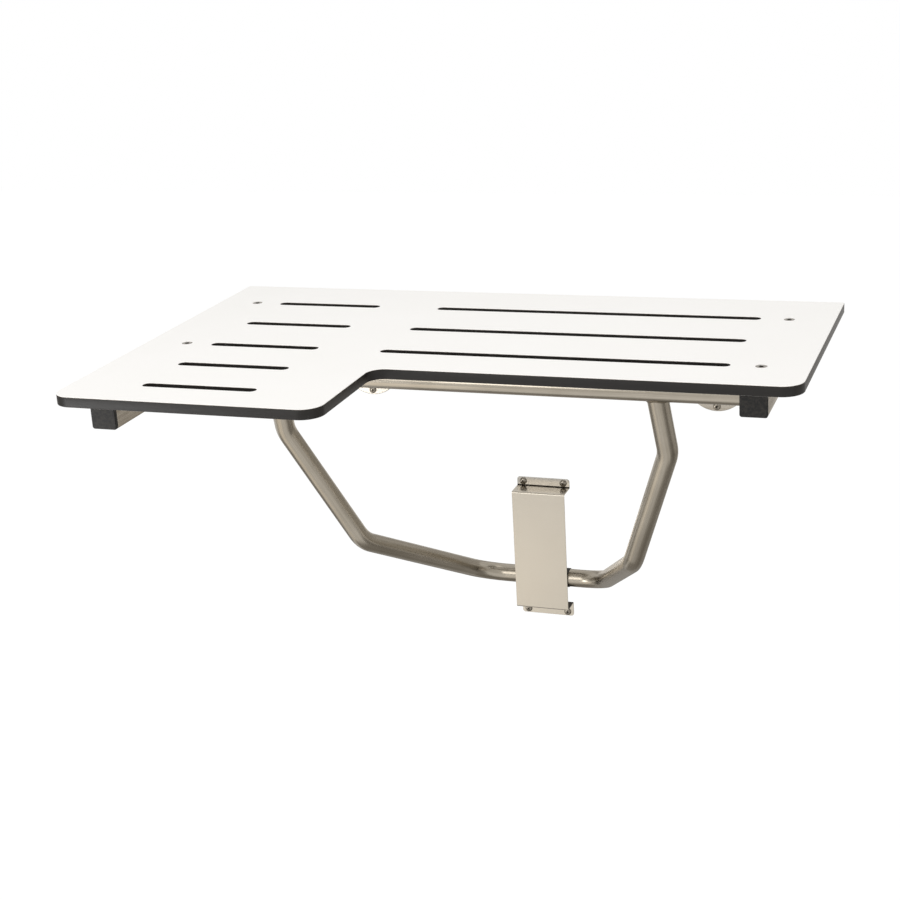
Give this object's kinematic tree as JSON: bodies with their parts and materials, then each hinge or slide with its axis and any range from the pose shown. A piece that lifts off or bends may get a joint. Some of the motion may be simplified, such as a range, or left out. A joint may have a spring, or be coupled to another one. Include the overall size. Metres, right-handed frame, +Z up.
{
  "type": "fold down wall seat",
  "caption": "L-shaped slotted shower seat board on square rails, hinged to wall flanges and propped by a bent tube leg whose foot bar slides in a wall guide; folds up flat.",
  "frame": {"origin": "on the wall plane, midway between the centres of the two wall flanges", "axes": "+X along the wall to the right, +Y into the wall, +Z up; the seat stands out towards -Y"},
  "size_m": [0.838, 0.5954, 0.487],
  "materials": {
    "laminate": "matte white laminate faces on a black core",
    "steel": "satin brushed stainless steel",
    "screw_steel": "plain turned stainless steel",
    "black_plastic": "moulded black, lightly grained",
    "nylon": "natural nylon"
  },
  "bodies": {
    "wall_mount": {"left_wall_flange": "steel", "right_wall_flange": "steel", "left_flange_screw_1": "screw_steel", "left_flange_screw_2": "screw_steel", "left_flange_screw_3": "screw_steel", "right_flange_screw_1": "screw_steel", "right_flange_screw_2": "screw_steel", "right_flange_screw_3": "screw_steel", "left_hinge_arm": "steel", "right_hinge_arm": "steel", "left_hinge_bush": "nylon", "right_hinge_bush": "nylon", "guide_bracket": "steel", "guide_top_left_screw": "screw_steel", "guide_top_right_screw": "screw_steel", "guide_bottom_left_screw": "screw_steel", "guide_bottom_right_screw": "screw_steel", "bar_rest_block": "black_plastic"},
    "seat": {"seat_board": "laminate", "left_rear_board_screw": "screw_steel", "left_front_board_screw": "screw_steel", "right_rear_board_screw": "screw_steel", "right_front_board_screw": "screw_steel", "left_rear_rail_nut": "screw_steel", "left_front_rail_nut": "screw_steel", "right_rear_rail_nut": "screw_steel", "right_front_rail_nut": "screw_steel", "left_rail": "steel", "right_rail": "steel", "left_front_cap": "black_plastic", "left_rear_cap": "black_plastic", "right_front_cap": "black_plastic", "right_rear_cap": "black_plastic", "hinge_tube": "steel", "left_hinge_plug": "black_plastic", "right_hinge_plug": "black_plastic", "left_hinge_collar": "steel", "right_hinge_collar": "steel", "left_pivot_bush": "nylon", "right_pivot_bush": "nylon", "left_pivot_pin": "screw_steel", "right_pivot_pin": "screw_steel"},
    "glide": {"foot_sleeve": "black_plastic"},
    "leg": {"leg_tube": "steel", "cross_tube": "steel", "left_cross_tube_plug": "steel", "right_cross_tube_plug": "steel"}
  },
  "joints": [
    {"name": "seat_fold", "type": "hinge", "parent": "wall_mount", "child": "seat", "pos_m": [0, -0.0915, 0.06275], "axis": [-1, 0, 0], "range_deg": [0, 90]},
    {"name": "glide_slide", "type": "slide", "parent": "wall_mount", "child": "glide", "axis": [0, 0, 1], "range_m": [0, 0.1063]},
    {"name": "leg_tilt", "type": "hinge", "parent": "glide", "child": "leg", "pos_m": [0, -0.0142, -0.30055], "axis": [-1, 0, 0], "range_deg": [0, 33.5]}
  ],
  "couplings": [
    {"joint": "glide_slide", "follows": "seat_fold", "m_per_rad": 0.067586},
    {"joint": "leg_tilt", "follows": "seat_fold", "ratio": 0.37149}
  ]
}
